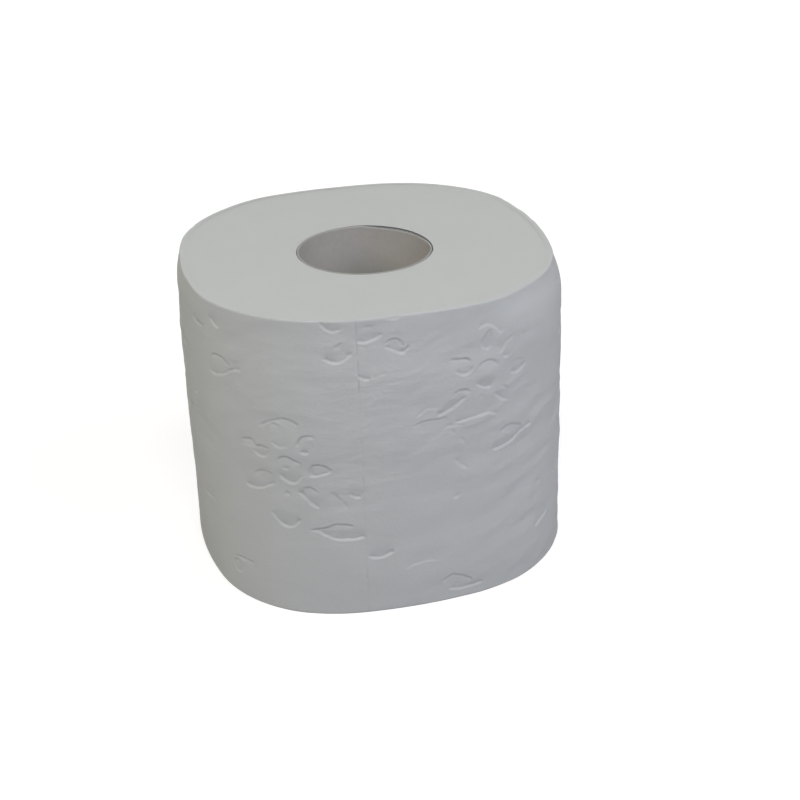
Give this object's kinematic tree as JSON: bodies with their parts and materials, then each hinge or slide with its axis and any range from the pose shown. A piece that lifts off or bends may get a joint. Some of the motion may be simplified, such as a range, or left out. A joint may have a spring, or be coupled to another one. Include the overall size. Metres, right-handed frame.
{
  "type": "toilet paper roll",
  "caption": "Roll of embossed toilet paper standing on its end, wound on a cardboard tube, its section pressed to a soft square; the tube's bore takes a holder's spindle.",
  "frame": {"origin": "centre of the tube's bore at the end that the roll stands on", "axes": "+Z along the tube's bore, up out of the end that is on top; -Y towards the viewer"},
  "size_m": [0.1172, 0.1168, 0.095],
  "materials": {
    "cardboard": "matt grey-brown recycled board",
    "paper": "matt soft tissue, embossed"
  },
  "bodies": {
    "root": {"cardboard_core": "cardboard", "paper_roll": "paper"}
  },
  "joints": []
}
